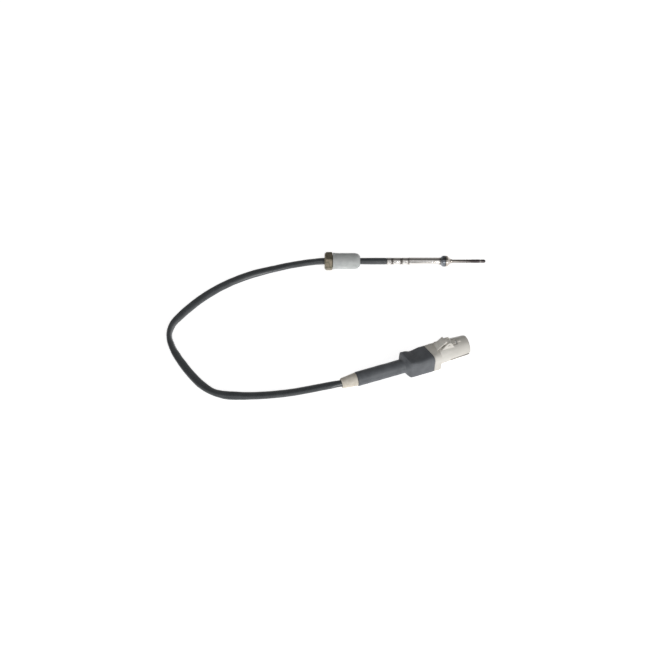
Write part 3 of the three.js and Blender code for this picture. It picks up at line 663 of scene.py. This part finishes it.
def nut_column(angle):
    """The nut's outline at an angle round its axis, with the thread's ridge where it has wound to."""
    rear = NUT_LOW.x
    front = rear + HEX_LENGTH
    end = front + THREAD_LENGTH
    side = hexagon_radius(angle)
    height = side - HEX_FACE_R
    rear_hex = [(rear, HEX_FACE_R), (rear + REAR_CHAMFER * height, side)]
    front_hex = [(front - FRONT_CHAMFER * height, side), (front, HEX_FACE_R + 0.2)]
    head = softened([(rear, POCKET_R), *rear_hex, *front_hex, (front, THREAD_ROOT_R)], 0.2)
    steps = int(THREAD_LENGTH / THREAD_PITCH * THREAD_STEPS)
    thread = []
    for i in range(steps + 1):
        x = front + 0.3 + (THREAD_LENGTH - 0.3) * i / steps
        phase = ((x - front) / THREAD_PITCH - angle / (2 * math.pi)) % 1.0
        ridge = min(1.0, max(0.0, 1.6 - 3.6 * abs(phase - 0.5)))
        fade = min(1.0, (x - front) / 2.0, (end - x) / 1.0)
        thread.append(Vector((x, THREAD_ROOT_R + (THREAD_R - THREAD_ROOT_R) * ridge * fade)))
    nose_end = NUT_HIGH.x
    nose = softened([(end, 5.9), (nose_end - 1, 5.9), (nose_end, 4.9), (nose_end, NUT_BORE_R),
                     (rear + POCKET_DEPTH, NUT_BORE_R), (rear + POCKET_DEPTH, POCKET_R)], 0.15)
    outline = [*head, *thread, *nose]
    return [(x, r * math.cos(angle), r * math.sin(angle)) for x, r in outline]


def hex_union_nut():
    columns = [nut_column(2 * math.pi * (i + 0.5) / NUT_SIDES) for i in range(NUT_SIDES)]
    piece = mesh_object("hex_union_nut", *skin(columns, along=True), PROBE, sharp=28)
    return dress(piece, yellow_zinc(), "nut", "yellow_zinc", "union_nut")


def rubber_keeper_ring(material):
    low, high = extent("keeper_ring")
    start, end = low.x, high.x
    profile = [(start, 4.2), (start, 4.5), (start + 0.4, 4.8), (end, 4.8), (end, 4.0), (start + 0.9, 4.0)]
    piece = turned("rubber_keeper_ring", profile, PROBE, sides=64, soft=0.3)
    return dress(piece, material, "keeper", "black_rubber", "keeper_ring")


def translucent_cap():
    """Thin cap over the thread, with a bead at its rear and a round front that the sheath passes through."""
    low, high = extent("thread_cap")
    rear, front = low.x, high.x
    bead = [(rear, 7.4), (rear, 8.4), (rear + 1.7, 8.4), (rear + 2.0, 8.28)]
    outer = [(front - 6, 8.1), *quarter(front - 6, 4.1, 6, 4)[1:-1], (front, 4.4)]
    inner = [(front, 4.15), (front - 1, 4.15), *quarter(front - 4, 4.15, 3, 3)[-2::-1]]
    profile = [*bead, *outer, *inner, (rear + 2.5, 7.35)]
    piece = turned("translucent_cap", profile, PROBE, soft=0.25)
    return dress(piece, cap_plastic(), "cap", "cap_plastic", "thread_cap")


# ---------------------------------------------------------------- plug

SHRINK_WALL = 0.7
RIPPLE_DEPTH = 0.16                     # the shrink sleeve's broad ripples
RIPPLE_RATE = 0.16                      # ripples per millimetre
SHRINK_RINGS = 120
SECTIONS = [
    # place, near side, far side, underside, top, lower and upper corner radius, lean, fall of the far top
    (14.8, -6.5, 6.5, -6.5, 6.5, 6.49, 6.49, 0, 0),
    (15.8, -6.8, 6.8, -6.8, 6.8, 6.79, 6.79, 0, 0),
    (57.6, -6.8, 6.8, -6.8, 6.8, 6.79, 6.79, 0, 0),
    (59.5, -6.8, 6.8, -6.8, 6.8, 6.79, 6.79, 0.22, 0),
    (62.8, -10.5, 9.3, -8.8, 12.3, 2.9, 3.9, 0.25, 0.5),
    (66.0, -10.6, 9.3, -8.8, 12.4, 2.9, 3.9, 0.25, 0.9),
    (72.0, -10.6, 9.3, -8.8, 12.1, 2.9, 3.9, 0.25, 2.9),
    (81.5, -10.6, 9.3, -8.8, 13.0, 2.9, 4.4, 0.25, 1.2),
    (84.8, -10.6, 9.3, -8.8, 13.1, 2.9, 4.8, 0.25, 0.9),
]


def cone_boot(material):
    """Cone with a small rim where the lead goes in, and a stub that the shrink sleeve covers."""
    shoulder = LEAD_IN_BOOT + 0.5
    profile = [(0, 3.6), (0, 4.1), (0.6, 4.7), (1.2, 4.8), (1.6, 4.95), (6, 5.35), (11, 5.9), (13.8, 6.3),
               (14.5, 6.15), (14.5, 5.55), (24, 5.55), (24, 2.4), (shoulder, 2.4), (shoulder, 3.6)]
    piece = turned("cone_boot", profile, PLUG, soft=0.25)
    return dress(piece, material, "probe", "cream_rubber", "cable_boot")


def section_ring(x, inset=0.0, section=None):
    """A ring of the square body: the far side lies back by the lean, and the top falls towards it."""
    near, far, low, high, low_corner, high_corner, lean, fall = section or eased(SECTIONS, x)
    corners = [max(0.6, corner - inset) for corner in (low_corner, high_corner)]
    ring = square_ring(x, (near + inset, far - inset), (low + inset, high - inset), *corners)
    for point in ring:
        point.x -= lean * point.y
        if point.z > 0:
            point.z -= fall * (point.y - near) / (far - near) * point.z / high
    return ring


def rippled_ring(x):
    """The shrink sleeve's outside, with broad ripples and faint ones that run round it."""
    ring = section_ring(x)
    for point in ring:
        broad = noise.noise(point * RIPPLE_RATE) * RIPPLE_DEPTH
        faint = noise.noise(Vector((point.x * 5, point.y, point.z)) * 0.1) * 0.05
        point += Vector((0, point.y, point.z)).normalized() * (broad + faint - 0.06)
    return ring


def shrink_sleeve():
    start, end = SECTIONS[0][0], SECTIONS[-1][0]
    places = [start + (end - start) * i / SHRINK_RINGS for i in range(SHRINK_RINGS + 1)]
    rings = [rippled_ring(x) for x in places] + [section_ring(x, SHRINK_WALL) for x in reversed(places)]
    piece = loft("shrink_sleeve", rings, PLUG, ends=False)
    bevel(piece, 0.2, angle=60)
    return dress(piece, black_shrink(), "probe", "black_shrink", "heat_shrink")


BARREL_Z = 5.2
BARREL_START = 94.0
FLANGE_END = 94.6
RIM_START = 118.5
BARREL_END = 123.5
BARREL_R = (10.6, 9.4, 8.65)            # at the flange, where the rim's round starts, and at the end
RIM_LENGTH = (2.0, 5.0)                 # length of the rim's round on the near lower and the far upper side
RIM_LONGEST_AT = math.radians(110)
LATCH_FLAT_Z = 14.4                     # flat on the barrel's top, below the latch
SOCKET_R = 8.1
SOCKET_FLOOR = 99.0
INSERT_R = 7.8                          # the pin lock and the mouth seal, which sit in the socket
PIN_Y = 2.6
PIN_R = 1.0
CAVITY_START = 63.5
CAVITY_R = 1.95
PIVOT = PLUG @ Matrix.Translation(Vector((103.3, 0, 17.2)) * MM) @ Matrix.Rotation(math.pi / 2, 4, "Z")
TRUNNION_R = 1.0
TRUNNION_END = 4.8
STOP = (113.0, 116.2)                   # small block on the barrel, in front of the latch
SLOT_ANGLES = (-29.0, -5.0)
SLOT_START = 103.5
WINDOW_ANGLES = (72.0, 108.0)
WINDOW = (105.6, 112.2)


def barrel_point(x, angle):
    """A point of the barrel's outside: a cone with a rounded rim and a flat below the latch."""
    rear, front, mouth = BARREL_R
    short, long = RIM_LENGTH
    rim = BARREL_END - short - (long - short) * (1 + math.cos(angle - RIM_LONGEST_AT)) / 2
    radius = rear + (front - rear) * max(0.0, min(x, rim) - FLANGE_END) / (BARREL_END - short - FLANGE_END)
    if x > rim:
        share = (x - rim) / (BARREL_END - rim)
        radius = mouth + (radius - mouth) * math.sqrt(max(0.0, 1 - share ** 2))
    flat = LATCH_FLAT_Z + max(0.0, x - WINDOW[0])
    return x, radius * math.cos(angle), min(flat, BARREL_Z + radius * math.sin(angle))


def divided(stops, most):
    """The stops with equal steps between them, none longer than most."""
    out = []
    for a, b in zip(stops, stops[1:]):
        count = max(1, math.ceil((b - a) / most))
        out += [a + (b - a) * i / count for i in range(count)]
    return [*out, stops[-1]]


def barrel_wall():
    """Round wall with two open-ended key slots and the latch window, as one closed shell."""
    angles = divided([SLOT_ANGLES[0], SLOT_ANGLES[1], *WINDOW_ANGLES, 180 - SLOT_ANGLES[1],
                      180 - SLOT_ANGLES[0], 360 + SLOT_ANGLES[0]], 5.0)[:-1]
    places = divided([BARREL_START, SLOT_START, *WINDOW, RIM_START], 2.0)
    places += [x for x, _ in quarter(RIM_START, 0, BARREL_END - RIM_START, 0, steps=9)[1:]]

    def is_open(i, j):
        angle = (angles[j] + angles[(j + 1) % len(angles)] + (360 if j == len(angles) - 1 else 0)) / 2
        x = (places[i] + places[i + 1]) / 2
        side = 180 - angle if angle > 90 else angle
        in_slot = SLOT_ANGLES[0] < side < SLOT_ANGLES[1] and x > SLOT_START
        in_window = WINDOW_ANGLES[0] < angle < WINDOW_ANGLES[1] and WINDOW[0] < x < WINDOW[1]
        return in_slot or in_window

    vertices, faces = [], []
    across = len(angles)
    turns = [math.radians(angle) for angle in angles]
    for x in places:
        vertices += [barrel_point(x, turn) for turn in turns]
        vertices += [(x, SOCKET_R * math.cos(turn), BARREL_Z + SOCKET_R * math.sin(turn)) for turn in turns]

    def outer(i, j):
        return 2 * i * across + j % across

    def inner(i, j):
        return (2 * i + 1) * across + j % across

    last = len(places) - 2
    for i in range(len(places) - 1):
        for j in range(across):
            if is_open(i, j):
                continue
            faces.append((outer(i, j), outer(i, j + 1), outer(i + 1, j + 1), outer(i + 1, j)))
            faces.append((inner(i, j), inner(i + 1, j), inner(i + 1, j + 1), inner(i, j + 1)))
            if i == 0 or is_open(i - 1, j):
                faces.append((outer(i, j), inner(i, j), inner(i, j + 1), outer(i, j + 1)))
            if i == last or is_open(i + 1, j):
                faces.append((outer(i + 1, j), outer(i + 1, j + 1), inner(i + 1, j + 1), inner(i + 1, j)))
            if is_open(i, (j - 1) % across):
                faces.append((outer(i, j), outer(i + 1, j), inner(i + 1, j), inner(i, j)))
            if is_open(i, (j + 1) % across):
                faces.append((outer(i, j + 1), inner(i, j + 1), inner(i + 1, j + 1), outer(i + 1, j + 1)))
    wall = mesh_object("connector_housing", vertices, faces, PLUG)
    return bevel(wall, 0.35, segments=3, angle=50)


def housing_root():
    """The block in the sleeve and the flange in front of it, which eases towards the barrel's round."""
    rings = [section_ring(65.2, 1.8)] + [section_ring(x, 1.0) for x in (66, 69, 72, 75, 78, 81.5, 84.8)]
    front = SECTIONS[-1][1:]
    rings += [section_ring(85.2, 1.0, front), section_ring(85.1, 0.4, front), section_ring(85.5, 0.0, front)]
    flange = [(90.0, 13.2, 0.12, 0.6, 5, 0), (93.6, 13.3, 0, 0.2, 5.6, 0), (94.3, 13.2, 0, 0.2, 6, 0.12),
              (FLANGE_END, 13.2, 0, 0.2, 6, 0.45)]
    for x, top, lean, fall, top_corner, inset in flange:
        rings.append(section_ring(x, inset, (-10.6, 9.4, -8.8, top, 2.6, top_corner, lean, fall)))
    return loft("root", rings, PLUG)


def cheek(side):
    """Triangular cheek whose outer face leans inwards towards its round top."""
    top = 20.1
    corners = [(95.0, 13.2), (109.2, 13.2), (105.9, 18.6), (105.1, 19.6), (103.3, top), (101.5, 19.6)]
    outline = softened(corners, 0.9, closed=True, steps=3)
    inner = [(x, side * 3.0, z) for x, z in outline]
    outer = [(x, side * (4.0 + 0.17 * (top - z)), z) for x, z in outline]
    return bevel(loft("cheek", [inner, outer], PLUG), 0.3, angle=50)


def connector_housing(material):
    """Barrel, flange and block in one, with the latch's cheeks and stop, and a hole for each terminal."""
    wall = barrel_wall()
    floor = rod("floor", BARREL_START + 0.2, SOCKET_FLOOR, SOCKET_R + 0.5, PLUG, z=BARREL_Z, sides=72)
    stop = block("stop", (STOP[0], -1.3, BARREL_Z + 8.5), (STOP[1], 1.3, BARREL_Z + 10.5), PLUG)
    bevel(stop, 0.45)
    combine(wall, [housing_root(), floor, stop, cheek(1), cheek(-1)], "UNION")
    end = SOCKET_FLOOR + 1
    holes = [rod("cavity", CAVITY_START, end, CAVITY_R, PLUG, y=side * PIN_Y, z=BARREL_Z, sides=32)
             for side in (-1, 1)]
    holes.append(rod("pivot", -6, 6, TRUNNION_R + 0.2, PIVOT, sides=32))
    combine(wall, holes, "DIFFERENCE")
    return dress(wall, material, "probe", "grey_plastic", "plug_housing")


def latch(material):
    """Rocking lever: ridged thumb ramp, arm, tooth and trunnions."""
    arm = [(99.2, 22.3), (100.6, 22.0), (101.4, 20.4), (103.6, 19.4), (105.4, 18.4), (106.6, 16.4),
           (108, 15.7), (110.8, 15.5), (111.3, 15.1), (111.3, 14.5), (110.9, 14.4), (110.9, 12.6),
           (109.2, 12.3), (107.2, 13.6), (106.4, 14), (105.6, 15.4), (104.5, 15.6), (102.1, 15.6),
           (99.8, 17.6), (98, 18.4)]
    ramp = [(91.2, 15), (98.6, 22.3), (99.6, 22.4), (92.6, 15.1), (91.6, 14.8)]
    piece = plate("latch", arm, -2.5, 2.5, PLUG, soft=0.35)
    tools = [plate("ramp", ramp, -4, 4, PLUG, soft=0.3, edge=0.35)]
    tools.append(rod("trunnion", -TRUNNION_END, TRUNNION_END, TRUNNION_R, PIVOT, sides=32))
    for i in range(4):
        x = 93.6 + i * 1.35
        ridge = [(x - 0.35, x - 76.55), (x, x - 75.85), (x + 0.35, x - 75.85), (x + 0.35, x - 76.4)]
        tools.append(plate("ridge", ridge, -3.4, 3.4, PLUG, soft=0.1, edge=0.1))
    combine(piece, tools, "UNION")
    return dress(piece, material, "latch", "grey_plastic", "latch_lever")


def pin_lock(material):
    """Insert on the socket's floor: two collars round the pins and a keying rib."""
    profile = [(99.3, 0), (99.3, INSERT_R), (101.8, INSERT_R), (101.8, 0)]
    disc = turned("pin_lock", profile, PLUG, soft=0.25, hollow=False, lift=BARREL_Z)
    raised = [rod("collar", 101, 103, 2.2, PLUG, y=side * PIN_Y, z=BARREL_Z) for side in (-1, 1)]
    raised.append(block("rib", (101, -0.6, BARREL_Z - 6.5), (103, 0.6, BARREL_Z + 6.5), PLUG))
    combine(disc, raised, "UNION")
    holes = [rod("hole", 98, 104, 1.4, PLUG, y=side * PIN_Y, z=BARREL_Z, sides=32) for side in (-1, 1)]
    combine(disc, holes, "DIFFERENCE")
    return dress(disc, material, "probe", "insert_plastic", "terminal_lock")


def mouth_seal_ring(material):
    """Rubber ring in the socket with two grooves round it."""
    groove = INSERT_R - 0.35
    profile = [(103.3, 6.1), (103.3, INSERT_R), (103.9, INSERT_R), (104.2, groove), (104.5, INSERT_R),
               (104.8, INSERT_R), (105.1, groove), (105.4, INSERT_R), (105.7, 7.6), (105.7, 6.3),
               (105.2, 6.1)]
    piece = turned("mouth_seal_ring", profile, PLUG, soft=0.15, lift=BARREL_Z)
    return dress(piece, material, "probe", "seal_rubber", "mouth_seal")


def contact_pin(name, node, side, material):
    profile = [(76, 0), (76, 1.35), (84, 1.35), (84.6, 1.15), (103.5, 1.15), (104, PIN_R), (115.6, PIN_R),
               (117, 0.45), (117, 0)]
    place = PLUG @ Matrix.Translation(Vector((0, side * PIN_Y, BARREL_Z)) * MM)
    piece = turned(name, profile, place, sides=40, soft=0.2, hollow=False)
    return dress(piece, material, "probe", "tinned_terminal", node)


# ---------------------------------------------------------------- surroundings


WORLD_STRENGTH = 0.9
WORLD_LEVELS = [
    # place round the sky from the front over the top to the back, red, green, blue
    (0.0, 0.35, 0.35, 0.35), (0.2, 0.4, 0.4, 0.4), (0.26, 1.0, 1.0, 1.0), (0.32, 1.0, 1.0, 1.0),
    (0.38, 0.24, 0.24, 0.24), (0.5, 0.13, 0.125, 0.12), (0.62, 0.15, 0.145, 0.14),
    (0.74, 0.27, 0.265, 0.26), (0.9, 0.38, 0.38, 0.38), (1.0, 0.45, 0.45, 0.45),
]
FLOOR_REACH = 3000                      # millimetres from the middle to each side
FLOOR_GLOW = 0.77


def add_world():
    """Soft studio: bright in front and low, dim and warm overhead and behind."""
    world = bpy.data.worlds.new("studio")
    bpy.context.scene.world = world
    world.use_nodes = True
    tree = world.node_tree
    apart = add(tree, "SeparateXYZ", Vector=add(tree, "TexCoord").outputs["Generated"])
    front = maths(tree, "MULTIPLY", apart.outputs["Y"], -1).outputs["Value"]
    turn = maths(tree, "ARCTAN2", apart.outputs["Z"], front).outputs["Value"]
    share = ranged(tree, turn, 0, math.pi, 0, 1)
    sky = ramped(tree, share, [(place, (*colour, 1)) for place, *colour in WORLD_LEVELS])
    background = tree.nodes["Background"]
    background.inputs["Strength"].default_value = WORLD_STRENGTH
    tree.links.new(sky, background.inputs["Color"])


def add_floor():
    """Lit white paper, which the probe lies on."""
    corners = [(x * FLOOR_REACH, y * FLOOR_REACH, 0) for x, y in ((-1, -1), (1, -1), (1, 1), (-1, 1))]
    floor = mesh_object("floor", corners, [(0, 1, 2, 3)])
    material = bpy.data.materials.new("paper")
    material.use_nodes = True
    shader = material.node_tree.nodes["Principled BSDF"]
    shader.inputs["Base Color"].default_value = (0.85, 0.85, 0.85, 1)
    shader.inputs["Emission Color"].default_value = (1, 1, 1, 1)
    shader.inputs["Emission Strength"].default_value = FLOOR_GLOW
    shader.inputs["Roughness"].default_value = 0.9
    shader.inputs["Specular IOR Level"].default_value = 0.1
    floor.data.materials.append(material)


def add_light(name, place, aim, size, watts):
    data = bpy.data.lights.new(name, "AREA")
    data.shape = "DISK"
    data.size = size
    data.energy = watts
    light = bpy.data.objects.new(name, data)
    light.location = place
    light.rotation_euler = (Vector(aim) - Vector(place)).to_track_quat("-Z", "Y").to_euler()
    bpy.context.scene.collection.objects.link(light)


def add_studio():
    add_world()
    add_floor()
    add_light("key", (0.6, -1.5, 0.45), (-0.08, -0.08, 0), 0.9, 10)
    bpy.context.scene.view_settings.view_transform = "Standard"


# ---------------------------------------------------------------- assembly


def dress_hidden():
    """Finishes for the CAD nodes that stay, inside the others. Returns the ones that go with the plug."""
    ceramic = plain("white_ceramic", "e9e4d8", "d9d2c2", (0.6, 0.75))
    finishes = {
        "sensing_element": ceramic,
        "splice_sleeve": ceramic,
        "mineral_core": plain("mineral_fill", "dedbd4", "cbc7bd", (0.8, 0.95)),
        "cable_grommet": plain("seal_rubber_grommet", "8c4c36", "6f3a28", (0.6, 0.75)),
    }
    wire = plain("nickel_wire", "b4b0a8", "97928a", (0.25, 0.4), 1.0)
    terminal = plain("tinned_splice", "bdb7a6", "a19b8b", (0.25, 0.4), 1.0)
    seal = plain("seal_rubber_wire", "8c4c36", "6f3a28", (0.6, 0.75))
    white = plain("white_insulation", "dcd8cc", "c9c4b6", (0.45, 0.6))
    brown = plain("brown_insulation", "6b3a2a", "57301f", (0.45, 0.6))
    for end, insulation in (("a", white), ("b", brown)):
        finishes["core_wire_" + end] = wire
        finishes["splice_" + end] = terminal
        finishes["wire_seal_" + end] = seal
        finishes["conductor_" + end] = insulation
        finishes["plug_wire_" + end] = insulation
    for node, material in finishes.items():
        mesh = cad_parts[node].data
        mesh.materials.clear()
        mesh.materials.append(material)
    return [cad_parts[name] for name in ("wire_seal_a", "wire_seal_b", "plug_wire_a", "plug_wire_b")]


def build():
    add_camera()
    lead, route = sleeved_lead(black_sleeve())
    sensing_tip()
    sheath_tube()
    stop_collar()
    bright_tube()
    crimped_tube()
    hex_union_nut()
    rubber_keeper_ring(plain("black_rubber", "26282a", "1b1d1e", (0.6, 0.75)))
    translucent_cap()
    grey = grey_plastic()
    seal = plain("seal_rubber", "8c4c36", "6f3a28", (0.5, 0.7))
    tinned = plain("tinned_terminal", "bdb7a6", "a19b8b", (0.2, 0.35), 1.0)
    on_lead = [
        cone_boot(cream_rubber()),
        shrink_sleeve(),
        connector_housing(grey),
        latch(grey),
        pin_lock(plain("insert_plastic", "bdbab2", "aeaaa1", (0.45, 0.6))),
        mouth_seal_ring(seal),
        contact_pin("contact_pin_a", "terminal_pin_a", 1, tinned),
        contact_pin("contact_pin_b", "terminal_pin_b", -1, tinned),
    ]
    on_lead += dress_hidden()
    add_studio()


build()
